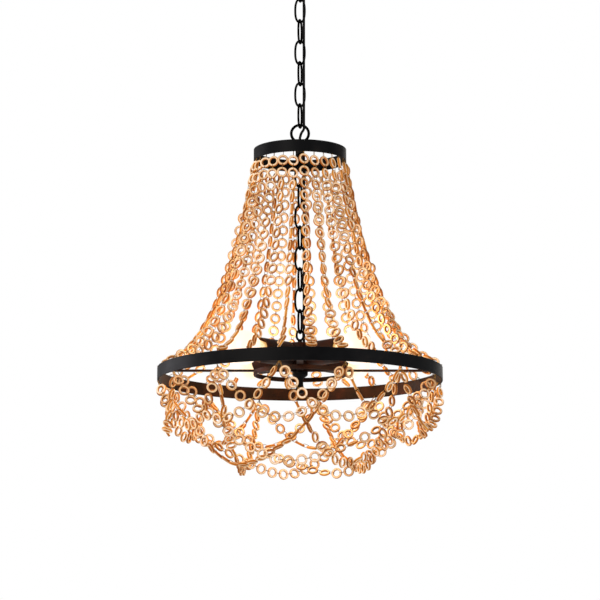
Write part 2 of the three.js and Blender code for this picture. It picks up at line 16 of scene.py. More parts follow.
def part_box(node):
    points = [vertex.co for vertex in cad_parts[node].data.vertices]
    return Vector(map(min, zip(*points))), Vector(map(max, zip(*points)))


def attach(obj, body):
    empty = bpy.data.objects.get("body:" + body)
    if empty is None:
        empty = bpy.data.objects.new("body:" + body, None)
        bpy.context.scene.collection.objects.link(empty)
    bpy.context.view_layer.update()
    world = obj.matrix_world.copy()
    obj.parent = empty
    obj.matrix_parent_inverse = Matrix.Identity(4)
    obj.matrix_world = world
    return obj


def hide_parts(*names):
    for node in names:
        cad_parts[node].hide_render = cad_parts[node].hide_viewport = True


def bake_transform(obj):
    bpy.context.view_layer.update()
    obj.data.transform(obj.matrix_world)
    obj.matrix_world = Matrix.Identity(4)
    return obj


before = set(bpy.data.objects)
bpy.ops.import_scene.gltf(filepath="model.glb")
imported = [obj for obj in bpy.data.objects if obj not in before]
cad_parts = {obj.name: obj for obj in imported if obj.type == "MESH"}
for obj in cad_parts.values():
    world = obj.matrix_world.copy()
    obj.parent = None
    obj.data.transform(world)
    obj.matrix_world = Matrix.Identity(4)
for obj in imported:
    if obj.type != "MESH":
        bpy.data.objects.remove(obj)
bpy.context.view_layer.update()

# %% [markdown]
# ## Sizes
#
# Blender works in metres. A lamp maker thinks in millimetres, so every size below is
# written in millimetres and multiplied by MM. Heights come from the CAD nodes' boxes,
# so that each dressed piece sits exactly where its solid does.

# %% Heights and radii from the CAD nodes
MM = 0.001
LAMP = "lamp_frame"


def low(node):
    return Vector(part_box(node)[0])


def high(node):
    return Vector(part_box(node)[1])


def middle(node):
    return (low(node) + high(node)) / 2


crown_top = high("crown_hoop").z
crown_foot = low("crown_hoop").z
crown_radius = high("crown_hoop").y
hoop_top = high("big_hoop").z
hoop_foot = low("big_hoop").z
hoop_radius = high("big_hoop").y
print(f"crown {crown_radius / MM:.1f} mm, big hoop {hoop_radius / MM:.1f} mm in radius")

# %% [markdown]
# ## Colours
#
# A colour picker shows sRGB values, and a shader takes linear ones. One function turns
# the first into the second, so that every colour below is written as a picker shows it.

# %% From sRGB to linear


def linear(code):
    """An sRGB colour written as RRGGBB, in the linear values that a shader takes."""
    parts = [int(code[place:place + 2], 16) / 255 for place in (0, 2, 4)]
    return (*(p / 12.92 if p <= 0.04045 else ((p + 0.055) / 1.055) ** 2.4 for p in parts), 1)


print(f"a middle grey, 808080, is {linear('808080')[0]:.3f} to a shader")

# %% [markdown]
# ## Camera
#
# The photograph was taken from a little below the lamp, with a long lens that flattens
# the hoops into thin ellipses. The camera repeats that: far away, low, and tilted up by
# ten degrees. Its place was fitted to the ellipses of the two hoops.

# %% Camera
lens_mm = 154.3
sensor_mm = 36
camera_away = 4.5326
camera_below = 0.6773
camera_tilt = 10.03

camera_data = bpy.data.cameras.new("long_lens")
camera_data.lens = lens_mm
camera_data.sensor_width = sensor_mm
camera = bpy.data.objects.new("camera", camera_data)
camera.location = (0, -camera_away, hoop_top - camera_below)
camera.rotation_euler = (math.radians(90 + camera_tilt), 0, 0)
bpy.context.scene.collection.objects.link(camera)
bpy.context.scene.camera = camera
bpy.context.scene.view_settings.view_transform = "Standard"
print(f"camera {camera_away:.2f} m away, {camera_below:.2f} m below the big hoop's top")

# %% [markdown]
# ## Studio light
#
# The surround is white where it is seen. The light that it gives is dimmer, so that
# black iron stays black. The node that tells the camera's rays from all others, and a
# range that it steers, do both with one colour.

# %% White surround
surround_share = 0.5

world = bpy.data.worlds.new("white_studio")
world.use_nodes = True
background = world.node_tree.nodes["Background"]
background.inputs["Color"].default_value = linear("FFFFFF")
seen = world.node_tree.nodes.new("ShaderNodeLightPath").outputs["Is Camera Ray"]
dimmed = world.node_tree.nodes.new("ShaderNodeMapRange")
dimmed.inputs["To Min"].default_value = surround_share
dimmed.inputs["To Max"].default_value = 1.0
world.node_tree.links.new(seen, dimmed.inputs["Value"])
world.node_tree.links.new(dimmed.outputs["Result"], background.inputs["Strength"])
bpy.context.scene.world = world
print("the white surround gives", surround_share, "of its brightness as light")

# %% [markdown]
# A soft key on the left and a weaker fill on the right shape the beads from the front.
# A light behind lifts the far strands, and one on the left draws a bright edge on the
# ends of the hoops. Large area lights were chosen, because their shadows are soft.

# %% Four soft lights


def soft_light(name, place, aim, size, watts, colour):
    data = bpy.data.lights.new(name, "AREA")
    data.size = size
    data.energy = watts
    data.color = linear(colour)[:3]
    light = bpy.data.objects.new(name, data)
    light.location = place
    light.rotation_euler = (Vector(aim) - Vector(place)).to_track_quat("-Z", "Y").to_euler()
    bpy.context.scene.collection.objects.link(light)
    print(f"{name} light: {watts} W, {size} m across")


soft_light("key", (-1.8, -2.6, 0.2), (0, 0, -0.6), 1.2, 70, "FFF8F0")
soft_light("fill", (2.2, -1.6, -1.2), (0, 0, -0.7), 1.6, 30, "F6F6FF")
soft_light("back", (1.4, 3.2, 0.3), (0, 0, -0.6), 1.4, 16, "FFF8F0")
soft_light("rim", (-2.45, 0.9, -0.7), (0, 0, -0.8), 1.3, 46, "F6F2FA")

# %% [markdown]
# ## Forms
#
# Almost everything here is one of three forms: wire bent along a route, a profile spun
# round an axis, or a flat bar. Curves and modifiers could make them too, but as plain
# vertices and faces several of them can share one mesh. Wire comes first: a small ring
# of vertices at each point of the route, and faces from each ring to the next.

# %% Wire along a route


def ring_of(point, across, up, radius, sides):
    return [point + radius * (math.cos(a) * across + math.sin(a) * up)
            for a in (2 * math.pi * n / sides for n in range(sides))]


def wire(route, diameter, sides=10, closed=False):
    """Round wire along a list of points."""
    route = [Vector(p) for p in route]
    count = len(route)
    verts, faces, up = [], [], None
    for n, point in enumerate(route):
        before = route[n - 1] if n or closed else point
        after = route[(n + 1) % count] if n + 1 < count or closed else point
        along = (after - before).normalized()
        if up is None:
            up = along.orthogonal().normalized()
            if closed:
                up = (route[1] - route[0]).cross(route[2] - route[1]).normalized()
        up = (up - up.dot(along) * along).normalized()
        verts += ring_of(point, along.cross(up), up, diameter / 2, sides)
    for n in range(count if closed else count - 1):
        here, there = n * sides, (n + 1) % count * sides
        faces += [(here + s, here + (s + 1) % sides, there + (s + 1) % sides, there + s)
                  for s in range(sides)]
    if not closed:
        faces += [tuple(reversed(range(sides))),
                  tuple(range((count - 1) * sides, count * sides))]
    return verts, faces


print("straight wire has", len(wire([(0, 0, 0), (0, 0, 1)], 0.1)[1]), "faces")

# %% [markdown]
# A spun form is a profile turned round the upright axis. Where the profile meets the
# axis, a whole row of vertices becomes a single one, so that no empty faces are left.

# %% Spun forms
on_axis = 1e-7


def spun(profile, steps=64):
    """A closed profile of (radius, height) spun round the upright axis."""
    verts, faces, rows = [], [], []
    for radius, height in profile:
        if radius < on_axis:
            rows.append([len(verts)] * steps)
            verts.append(Vector((0, 0, height)))
            continue
        rows.append(list(range(len(verts), len(verts) + steps)))
        verts += [Vector((radius * math.cos(a), radius * math.sin(a), height))
                  for a in (2 * math.pi * n / steps for n in range(steps))]
    pairs = list(zip(rows, rows[1:]))
    if profile[0][0] > on_axis:
        pairs.append((rows[-1], rows[0]))
    for lower, upper in pairs:
        for n in range(steps):
            m = (n + 1) % steps
            corners = dict.fromkeys((lower[n], lower[m], upper[m], upper[n]))
            if len(corners) > 2:
                faces.append(tuple(corners))
    return verts, faces


print("a spun disc has", len(spun([(0, 0), (1, 0), (1, 1), (0, 1)])[1]), "faces")

# %% [markdown]
# A flat bar is a box with eight vertices. Any form can be moved by a matrix, and several
# can be joined into one, so that two crossed bars and their bolts become a single mesh.

# %% Flat bars, and forms moved and joined


def bar(width, depth, height, centre):
    """A flat bar; its edges are rounded later, with a bevel."""
    x, y, z = width / 2, depth / 2, height / 2
    verts = [Vector(centre) + Vector((sx * x, sy * y, sz * z))
             for sz in (-1, 1) for sy in (-1, 1) for sx in (-1, 1)]
    faces = [(0, 2, 3, 1), (4, 5, 7, 6), (0, 1, 5, 4), (2, 6, 7, 3), (0, 4, 6, 2), (1, 3, 7, 5)]
    return verts, faces


def moved(form, matrix):
    return [matrix @ v for v in form[0]], form[1]


def together(*forms):
    verts, faces = [], []
    for form_verts, form_faces in forms:
        start = len(verts)
        verts += form_verts
        faces += [tuple(start + corner for corner in face) for face in form_faces]
    return verts, faces


two_bars = together(bar(1, 1, 1, (0, 0, 0)), bar(1, 1, 1, (2, 0, 0)))
print("two bars have", len(two_bars[0]), "vertices and", len(two_bars[1]), "faces")

# %% [markdown]
# ## From form to piece
#
# A finished piece has a mesh and a finish, rides on a body, and stands for a CAD node.
# No real edge is as sharp as a knife, so most metal pieces get a small bevel, which
# catches the light. A modifier does that well, for it finds the sharp edges itself.

# %% One finished piece
bevel_angle = math.radians(35)


def piece(name, form, finish, body, stands_for=(), soften=0.0):
    """One dressed piece: its mesh, its finish, the body it rides on and what it replaces."""
    mesh = bpy.data.meshes.new(name)
    mesh.from_pydata(form[0], [], form[1])
    mesh.validate()
    mesh.update()
    mesh.shade_smooth()
    mesh.materials.append(finish)
    obj = bpy.data.objects.new(name, mesh)
    bpy.context.scene.collection.objects.link(obj)
    if soften:
        bevel = obj.modifiers.new("worn_edges", "BEVEL")
        bevel.width = soften
        bevel.segments = 2
        bevel.limit_method = "ANGLE"
        bevel.angle_limit = bevel_angle
        bevel.harden_normals = True
    if body:
        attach(obj, body)
    if stands_for:
        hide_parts(*stands_for)
    print(f"{name}: {len(mesh.polygons)} faces")
    return obj


# %% [markdown]
# ## Finishes
#
# A finish is a small tree of nodes. One function adds a node with its settings, values
# and links, and the colour stops if it is a ramp. Every finish below is built with it.

# %% A node with its settings and links


def add(tree, kind, links=None, values=None, stops=(), **settings):
    node = tree.nodes.new(kind)
    for name, value in settings.items():
        setattr(node, name, value)
    for socket, value in (values or {}).items():
        node.inputs[socket].default_value = value
    for socket, source in (links or {}).items():
        tree.links.new(source, node.inputs[socket])
    if stops:
        elements = node.color_ramp.elements
        while len(elements) < len(stops):
            elements.new(0.5)
        for element, (place, code) in zip(elements, stops):
            element.position = place
            element.color = linear(code)
    return node


def new_finish(name, **shader_values):
    finish = bpy.data.materials.new(name)
    finish.use_nodes = True
    shader = finish.node_tree.nodes["Principled BSDF"]
    for socket, value in shader_values.items():
        shader.inputs[socket.replace("_", " ")].default_value = value
    print("finish:", name)
    return finish, finish.node_tree, shader


# %% [markdown]
# ### Floor
#
# The lamp hangs, so nothing stands on the floor. It lies far enough below to leave room
# for a look at the lamp from underneath, and it glows a little, as a lit floor would.

# %% Pale floor
floor_half = 60
floor_height = -4.8
floor_corners = [(-floor_half, -floor_half), (floor_half, -floor_half),
                 (floor_half, floor_half), (-floor_half, floor_half)]
floor_mesh = bpy.data.meshes.new("pale_floor")
floor_mesh.from_pydata([(x, y, floor_height) for x, y in floor_corners], [], [(0, 1, 2, 3)])
pale_floor = bpy.data.objects.new("pale_floor", floor_mesh)
bpy.context.scene.collection.objects.link(pale_floor)
floor_paint, tree, shader = new_finish(
    "pale_floor_paint", Base_Color=linear("FBFAF7"), Roughness=0.9,
    Emission_Color=linear("FFFFFF"), Emission_Strength=0.35)
floor_mesh.materials.append(floor_paint)
print("the floor lies", -floor_height, "m below the ceiling")

# %% [markdown]
# ### Painted iron
#
# The hoops and cups are mild steel under a matt paint. Its grain is drawn over a
# millimetre wide, which is coarser than real paint has, so that it shows. Outside it is
# a deep, flat black, so its shine is set well below that of a clear coat. Inside the big
# hoop, where the lamps are, the same paint is coloured a warm brown as painted lamp glow.
# The wire of the chain and the eyes was dipped in black lacquer, which leaves it blacker
# still.

# %% Painted iron
grain_size = 1.4 * MM
grain_depth = 0.2 * MM
cloud_size = 30 * MM


def iron_paint(name, shine, stops):
    finish, tree, shader = new_finish(name, IOR=1.5, Specular_IOR_Level=shine)
    place = add(tree, "ShaderNodeTexCoord").outputs["Object"]
    grain = add(tree, "ShaderNodeTexNoise", {"Vector": place},
                {"Scale": 1 / grain_size, "Detail": 3.0})
    cloud = add(tree, "ShaderNodeTexNoise", {"Vector": place},
                {"Scale": 1 / cloud_size, "Detail": 4.0})
    colour = add(tree, "ShaderNodeValToRGB", {"Fac": cloud.outputs["Fac"]}, stops=stops)
    rough = add(tree, "ShaderNodeMapRange", {"Value": cloud.outputs["Fac"]},
                {"To Min": 0.4, "To Max": 0.62})
    bump = add(tree, "ShaderNodeBump", {"Height": grain.outputs["Fac"]},
               {"Strength": 0.25, "Distance": grain_depth})
    tree.links.new(colour.outputs["Color"], shader.inputs["Base Color"])
    tree.links.new(rough.outputs["Result"], shader.inputs["Roughness"])
    tree.links.new(bump.outputs["Normal"], shader.inputs["Normal"])
    return finish


painted_iron = iron_paint("matt_painted_iron", 0.05,
                          [(0.35, "050506"), (0.6, "0A0A0B"), (0.8, "151211")])
# Painted lamp glow: the same black paint, coloured a warm brown for the inner parts that the lamps
# light.
lamp_glow_paint = iron_paint("warm_lamp_glow_paint", 0.08,
                          [(0.35, "120703"), (0.6, "250F05"), (0.8, "3A180A")])
black_lacquer = iron_paint("dipped_black_lacquer", 0.02,
                           [(0.35, "010101"), (0.6, "030303"), (0.8, "060505")])

# %% [markdown]
# ### Turned wooden rings
#
# Each bead is a slice of turned beech, left without varnish, so it hardly shines. Its
# flat faces are pale, and its rounded edges are painted a darker, orange tan: painted
# shade on the edges, warmed by painted lamp glow.
# Rings differ from each other, so each one carries its own tone as a number on its
# vertices, and its rim is marked in the same way. Flecks a millimetre or two wide run
# through both.

# %% Turned wood
fibre_size = 1.6 * MM
fibre_depth = 0.15 * MM

turned_wood, tree, shader = new_finish("turned_beech", Roughness=0.65, IOR=1.5,
                                       Specular_IOR_Level=0.2)
place = add(tree, "ShaderNodeTexCoord").outputs["Object"]
tone = add(tree, "ShaderNodeAttribute", attribute_name="tone").outputs["Fac"]
rim = add(tree, "ShaderNodeAttribute", attribute_name="rim").outputs["Fac"]
stretched = add(tree, "ShaderNodeMapping", {"Vector": place}, {"Scale": (1, 1, 0.35)})
fibre = add(tree, "ShaderNodeTexNoise", {"Vector": stretched.outputs["Vector"]},
            {"Scale": 1 / fibre_size, "Detail": 3.0, "Distortion": 0.6}).outputs["Fac"]
face_colour = add(tree, "ShaderNodeValToRGB", {"Fac": tone},
                  stops=[(0.0, "FCECD6"), (0.5, "F2DAB2"), (1.0, "DAB07C")]).outputs["Color"]
# Painted shade and painted lamp glow: the darker, orange tan that the rims of the rings get.
rim_shade_colour = add(tree, "ShaderNodeValToRGB", {"Fac": tone},
                 stops=[(0.0, "C88628"), (0.5, "AC6410"), (1.0, "8A4804")]).outputs["Color"]
fibre_shade = add(tree, "ShaderNodeValToRGB", {"Fac": fibre},
                  stops=[(0.3, "C4AE92"), (0.6, "FFFFFF")]).outputs["Color"]
rim_shading = add(tree, "ShaderNodeMix", {"Factor": rim, "A": face_colour, "B": rim_shade_colour},
           data_type="RGBA")
wood_colour = add(tree, "ShaderNodeMix", {"A": rim_shading.outputs["Result"], "B": fibre_shade},
                  {"Factor": 0.5}, data_type="RGBA", blend_type="MULTIPLY")
bump = add(tree, "ShaderNodeBump", {"Height": fibre},
           {"Strength": 0.3, "Distance": fibre_depth})
tree.links.new(wood_colour.outputs["Result"], shader.inputs["Base Color"])
tree.links.new(bump.outputs["Normal"], shader.inputs["Normal"])

# %% [markdown]
# ### Drawn brass
#
# The loops between the rings are drawn brass wire, and the bulbs' caps have the same
# metal. It is yellow where it was rubbed and brown where it tarnished, in patches about
# six millimetres wide. A metal has no colour but that of its shine, so the shader is fully
# metallic and keeps its own IOR.

# %% Drawn brass
tarnish_size = 6 * MM

brass_wire, tree, shader = new_finish("drawn_brass", Metallic=1.0, Roughness=0.32)
place = add(tree, "ShaderNodeTexCoord").outputs["Object"]
tarnish = add(tree, "ShaderNodeTexNoise", {"Vector": place},
              {"Scale": 1 / tarnish_size, "Detail": 2.0})
colour = add(tree, "ShaderNodeValToRGB", {"Fac": tarnish.outputs["Fac"]},
             stops=[(0.3, "4E3218"), (0.7, "B08442")])
tree.links.new(colour.outputs["Color"], shader.inputs["Base Color"])

# %% [markdown]
# ### Braided cotton
#
# The cord has a sleeve of black cotton, braided round it, which looks matt and soft. Its
# threads cross at a slant and are too fine to show from this far. A slanting wave stands
# for them, and it is much coarser: its bands lie 25 millimetres apart along the cord.
# Both its colours are nearly black, so it shows as a faint change along the sleeve.

# %% Braided sleeve
band_spacing = 8 * math.pi * MM
braid_depth = 0.3 * MM
wave_phase = 10  # a slanting wave's phase grows by this for each unit along an axis

braided_sleeve, tree, shader = new_finish("braided_cotton", Roughness=0.85,
                                          Specular_IOR_Level=0.1)
place = add(tree, "ShaderNodeTexCoord").outputs["Object"]
weave = add(tree, "ShaderNodeTexWave", {"Vector": place},
            {"Scale": 2 * math.pi / wave_phase / band_spacing, "Distortion": 1.5},
            bands_direction="DIAGONAL").outputs["Fac"]
colour = add(tree, "ShaderNodeValToRGB", {"Fac": weave},
             stops=[(0.2, "050505"), (0.8, "0E0D0D")])
bump = add(tree, "ShaderNodeBump", {"Height": weave},
           {"Strength": 0.5, "Distance": braid_depth})
tree.links.new(colour.outputs["Color"], shader.inputs["Base Color"])
tree.links.new(bump.outputs["Normal"], shader.inputs["Normal"])
print(f"the bands on the sleeve lie {band_spacing / MM:.1f} mm apart")

# %% [markdown]
# ### Lit bulbs
#
# The bulbs are frosted inside and lit: the glass glows white at its belly and amber at
# its neck. Four bulbs share the finish, each in its own direction. How far a point is
# from the lamp's upright axis tells how far along its bulb it lies, so that one length
# drives the colour of the glow on all of them.

# %% Frosted glass
neck_away = 84 * MM
tip_away = 168 * MM

frosted_glass, tree, shader = new_finish("frosted_glass", Base_Color=linear("C6BAB0"),
                                         Roughness=0.3, IOR=1.5, Emission_Strength=0.76)
place = add(tree, "ShaderNodeTexCoord").outputs["Object"]
level = add(tree, "ShaderNodeVectorMath", {0: place}, {1: (1, 1, 0)}, operation="MULTIPLY")
outwards = add(tree, "ShaderNodeVectorMath", {0: level.outputs["Vector"]}, operation="LENGTH")
along_bulb = add(tree, "ShaderNodeMapRange", {"Value": outwards.outputs["Value"]},
                 {"From Min": neck_away, "From Max": tip_away})
glow = add(tree, "ShaderNodeValToRGB", {"Fac": along_bulb.outputs["Result"]},
           stops=[(0.0, "C87A30"), (0.18, "FFC468"), (0.38, "FFE4AC"), (0.62, "FFF6EA"),
                  (0.8, "FFEADC"), (1.0, "FFDCC8")])
tree.links.new(glow.outputs["Color"], shader.inputs["Emission Color"])

# %% [markdown]
# ## Chain
#
# A link is a round wire bent into an oval and welded. A superellipse describes it: a
# circle stretched both ways, with a power that fills its shoulders a little. Each link
# hangs in the last one, turned by 70 degrees against it, and moves with its own body.

# %% Links of the chain above
LINKS = 7
link_wire = 4 * MM
link_half_long = 21.9 * MM
link_half_wide = 8.65 * MM
link_turn = math.radians(70)


def link_route(half_wide, half_long, centre, turn=0.0, steps=44, fullness=2.4):
    def stretched_share(value):
        return math.copysign(abs(value) ** (2 / fullness), value)

    route = []
    for angle in (2 * math.pi * (n + 0.5) / steps for n in range(steps)):
        flat = half_wide * stretched_share(math.cos(angle))
        upright = half_long * stretched_share(math.sin(angle))
        route.append(Vector(centre)
                     + Vector((flat * math.cos(turn), flat * math.sin(turn), upright)))
    return route


for number in range(1, LINKS + 1):
    node = f"chain_link_{number}"
    route = link_route(link_half_wide, link_half_long, middle(node), link_turn * (number % 2))
    piece(f"{node}_wire", wire(route, link_wire, 12, closed=True), black_lacquer,
          f"link_{number}", [node])

# %% [markdown]
# The inner chain hangs taut from the crown to the lamp hub and moves with the frame, so
# its eight links are one piece. Their length follows from the height that they fill.

# %% Inner chain
inner_links = 8
seat_gap = 0.3 * MM
inner_top = high("inner_chain").z
inner_span = inner_top - low("inner_chain").z
inner_pitch = (inner_span - 2 * link_wire + seat_gap) / inner_links
inner_half_long = (inner_pitch + link_wire - seat_gap) / 2
inner_middles = [inner_top - link_wire / 2 - inner_half_long - n * inner_pitch
                 for n in range(inner_links)]
inner_wires = [wire(link_route(link_half_wide, inner_half_long, (0, 0, height),
                               link_turn * (n % 2)), link_wire, 10, closed=True)
               for n, height in enumerate(inner_middles)]
piece("inner_chain_wire", together(*inner_wires), black_lacquer, LAMP,
      ["inner_chain"])
inner_outside = 2 * inner_half_long + link_wire
print(f"{LINKS} links above, {inner_links} inside, each of those {inner_outside / MM:.1f} mm long")

# %% [markdown]
# ## Canopy and ceiling loop
#
# The canopy is spun sheet, a shallow dome with a wall of nearly even thickness. The loop
# in it is cast: a round eye on a turned collar. A smooth line through a few chosen
# points gives the dome's profile, and the inside follows it one wall's thickness in.

# %% Round eyes and smooth lines
eye_wire = 5 * MM
eye_radius = 15.8 * MM


def eye(centre_height, radius, diameter, turned=False, steps=48):
    route = [Vector((0, radius * math.cos(a), centre_height + radius * math.sin(a)))
             if turned
             else Vector((radius * math.cos(a), 0, centre_height + radius * math.sin(a)))
             for a in (2 * math.pi * n / steps for n in range(steps))]
    return wire(route, diameter, 14, closed=True)


def curve_through(points, steps=10):
    """A smooth line through chosen points."""
    points = [Vector(p) for p in points]
    ends = [2 * points[0] - points[1]] + points + [2 * points[-1] - points[-2]]
    line = []
    for a, b, c, d in zip(ends, ends[1:], ends[2:], ends[3:]):
        for n in range(steps):
            t = n / steps
            line.append(0.5 * (2 * b + (c - a) * t + (2 * a - 5 * b + 4 * c - d) * t ** 2
                               + (3 * b - a - 3 * c + d) * t ** 3))
    return line + [points[-1]]


print(f"the chain's eyes are {(2 * eye_radius + eye_wire) / MM:.1f} mm across, outside")

# %% [markdown]
# The dome hides the ceiling box. It is flat under the middle and gets steeper towards
# its rim, so five points are enough to draw it.

# %% Canopy
canopy_depth = 28 * MM
canopy_radius = 62 * MM
canopy_wall = 1.6 * MM
shank = 5 * MM
dome = curve_through([(5.4 * MM, -canopy_depth, 0), (24 * MM, -canopy_depth, 0),
                      (55 * MM, -canopy_depth / 2, 0), (canopy_radius, -3 * MM, 0),
                      (canopy_radius, 0, 0)])
outside = [(p.x, max(p.y, -canopy_depth)) for p in dome]
inside = [(max(r - canopy_wall, shank), min(z + canopy_wall, 0)) for r, z in reversed(outside)]
piece("canopy_dome", spun([(min(r, canopy_radius), z) for r, z in outside] + inside, 96),
      painted_iron, "ceiling_plate", ["canopy"])
bpy.data.objects["mounting_bar"].material_slots[0].material = painted_iron

# %% [markdown]
# The ceiling loop goes up through the dome with its shank. Its flange holds the dome
# against the ceiling, and the collar below it ends in the eye that takes the chain.

# %% Ceiling loop
collar = 5.8 * MM
collar_height = 12 * MM
flange = collar * 1.3
top_eye_height = low("canopy_loop").z + eye_wire / 2 + eye_radius
collar_top = -canopy_depth - seat_gap
shank_top = high("canopy_loop").z
stem = spun([(0, collar_top - collar_height), (collar * 0.8, collar_top - collar_height),
             (collar, collar_top - collar_height * 0.8), (collar, collar_top - 3 * MM),
             (flange, collar_top - 2.4 * MM), (flange, collar_top),
             (shank, collar_top), (shank, shank_top), (0, shank_top)], 32)
piece("ceiling_eye", together(eye(top_eye_height, eye_radius, eye_wire), stem),
      black_lacquer, "ceiling_plate", ["canopy_loop"])

# %% [markdown]
# ## Crown
#
# The crown is flat strip rolled into a hoop and standing on edge, with a strap welded
# across it. A screw loop stands on the strap for the chain, and a small eye with a
# six-sided nut hangs below it for the inner chain.

# %% Crown hoop and its strap
band = 3 * MM
strap_drop = 6 * MM
strap_width = 16 * MM
strap_top = crown_top - strap_drop


def hoop(outer, foot, top, steps=160):
    return spun([(outer - band, foot), (outer, foot), (outer, top), (outer - band, top)], steps)


crown = together(hoop(crown_radius, crown_foot, crown_top, 128),
                 bar(strap_width, 2 * (crown_radius - band), band, (0, 0, strap_top - band / 2)))
piece("crown_band", crown, painted_iron, LAMP, ["crown_hoop"], soften=0.5 * MM)

# %% [markdown]
# The loop on the strap is the ceiling loop turned over, and it carries the whole lamp.
# The one below is smaller. Its nut is a spun form as well, for a circle of only six
# steps is a hexagon.

# %% Loops on and under the strap
crown_eye_height = high("crown_loop").z - eye_wire / 2 - eye_radius
shank_foot = low("crown_loop").z
stem = spun([(0, shank_foot), (shank, shank_foot), (shank, strap_top + seat_gap),
             (flange, strap_top + seat_gap), (flange, strap_top + 2.4 * MM),
             (collar, strap_top + 3 * MM), (collar, crown_eye_height - eye_radius - 2 * MM),
             (collar * 0.7, crown_eye_height - eye_radius),
             (0, crown_eye_height - eye_radius)], 32)
piece("crown_eye", together(eye(crown_eye_height, eye_radius, eye_wire), stem),
      black_lacquer, LAMP, ["crown_loop"])

under_radius = 8 * MM
nut_height = 4 * MM
under_height = low("under_loop").z + eye_wire / 2 + under_radius
nut_top = high("under_loop").z
nut = spun([(0, nut_top - nut_height), (collar, nut_top - nut_height), (collar, nut_top),
            (0, nut_top)], 6)
piece("under_eye", together(eye(under_height, under_radius, eye_wire, turned=True), nut),
      black_lacquer, LAMP, ["under_loop"], soften=0.3 * MM)

# %% [markdown]
# ## Cords
#
# The supply cord hangs on nothing of its own: it is woven through the chain, from the
# canopy to the loop on the crown. The chain moves, so the cord is made in stretches
# from one link's middle to the next.

# %% Route of the supply cord
cord_diameter = 4.8 * MM
cord_side = 7 * MM
cord_weave = 5.2 * MM
cord_entry = 14 * MM
straight_share = 0.85
link_middle = [middle(f"chain_link_{n}").z for n in range(1, LINKS + 1)]


def woven_past(link_heights, half_long):
    """Points of a cord that passes in front of one link and behind the next."""
    reach = half_long * straight_share
    points = []
    for n, height in enumerate(link_heights):
        depth = cord_weave if n % 2 else -cord_weave
        points += [(cord_side, depth, height + reach), (cord_side, depth, height - reach)]
    return points


route = [(cord_entry, -cord_weave, -16 * MM), (cord_entry, -cord_weave, -28.3 * MM),
         (cord_side, -cord_weave, top_eye_height),
         (cord_side, -cord_weave, top_eye_height - eye_radius - eye_wire)]
route += woven_past(link_middle[1::2], link_half_long)
route += [(cord_side, -cord_weave, crown_eye_height + eye_radius + eye_wire),
          (cord_side, -cord_weave, crown_eye_height + eye_radius / 2),
          (cord_side / 3, -cord_weave / 3, crown_eye_height),
          (0, 0, crown_eye_height - eye_radius / 2),
          (0, 0, crown_eye_height - eye_radius + eye_wire / 2 + cord_diameter / 4)]
cord_line = curve_through(route, 12)
cord_length = sum((b - a).length for a, b in zip(cord_line, cord_line[1:]))
print(f"the supply cord is {cord_length:.2f} m long")

# %% [markdown]
# Each stretch runs from one cut to the next and rides on no body. The stretches overlap
# a little, so that no gap opens where the cord was cut.

# %% Stretches of the supply cord
overlap = 2 * MM
joint_heights = [top_eye_height - eye_radius] + [z - link_half_long for z in link_middle]
cuts = [0.0] + link_middle + [-1.0]
for number, pivot in enumerate(joint_heights):
    upper_cut, lower_cut = cuts[number], cuts[number + 1]
    inside_cut = [p for p in cord_line if lower_cut - overlap <= p.z <= upper_cut + overlap]
    stretch = piece(f"supply_cord_{number + 1}", wire(inside_cut, cord_diameter, 12),
                    braided_sleeve, None, ["supply_cord"])
    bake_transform(stretch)

# %% [markdown]
# The inner cord runs on from the crown to the lamp hub, woven through the inner chain in
# the same way. It moves with the frame alone, so one piece is enough.

# %% Inner cord
route = [(cord_side, -cord_weave, high("inner_cord").z), (cord_side, -cord_weave, under_height)]
route += woven_past(inner_middles[0::2], inner_half_long)
route += [(cord_side, -cord_weave, high("hub_loop").z),
          (cord_side, -cord_weave, low("inner_cord").z)]
piece("inner_cord_sleeve", wire(curve_through(route, 8), cord_diameter, 12), braided_sleeve,
      LAMP, ["inner_cord"])

# %% [markdown]
# ## Lamp cluster
#
# The hub is a round box, and an oval eye on it takes the inner chain. The knob below
# clamps the spokes. Hub and knob are turned, so a profile and an axis say everything.

# %% Hub and its loop
hub_top = high("lamp_hub").z
hub_foot = low("lamp_hub").z
hub_radius = 24 * MM
hub_edge = 4 * MM
hub_inset = 1 * MM
hub_profile = [(0, hub_foot), (hub_radius - hub_edge, hub_foot),
               (hub_radius - hub_inset, hub_foot + hub_edge / 3),
               (hub_radius, hub_foot + hub_edge), (hub_radius, hub_top - hub_edge),
               (hub_radius - hub_inset, hub_top - hub_edge / 3),
               (hub_radius - hub_edge, hub_top), (0, hub_top)]
piece("hub_box", spun(hub_profile, 64), lamp_glow_paint, LAMP, ["lamp_hub"],
      soften=0.4 * MM)

loop_high, loop_low = high("hub_loop").z, low("hub_loop").z
loop_half = 8.5 * MM
hub_eye = link_route(6 * MM, loop_half, (0, 0, loop_high - link_wire / 2 - loop_half))
stem_top = loop_high - 2 * loop_half - link_wire / 2
stem = spun([(0, loop_low), (4 * MM, loop_low), (4 * MM, stem_top - 1 * MM),
             (3 * MM, stem_top), (0, stem_top)], 24)
piece("hub_eye", together(wire(hub_eye, link_wire, 12, closed=True), stem), black_lacquer,
      LAMP, ["hub_loop"])

# %% [markdown]
# The finial is a turned iron knob with a waist, screwed up from below. A smooth line
# through seven points draws its side.

# %% Finial
knob_top, knob_foot = high("finial").z, low("finial").z
knob_radius = 14 * MM
near_axis = 0.01 * MM
knob_line = curve_through([(near_axis, knob_foot, 0), (5.5 * MM, knob_foot + 1.2 * MM, 0),
                           (8.4 * MM, knob_foot + 6.5 * MM, 0),
                           (6.2 * MM, knob_foot + 14 * MM, 0),
                           (6 * MM, knob_top - 14 * MM, 0),
                           (13.6 * MM, knob_top - 6.5 * MM, 0),
                           (knob_radius, knob_top, 0)], 8)
knob = ([(0, knob_foot)] + [(min(p.x, knob_radius), p.y) for p in knob_line[1:]]
        + [(0, knob_top)])
piece("finial_knob", spun(knob, 48), painted_iron, LAMP, ["finial"])

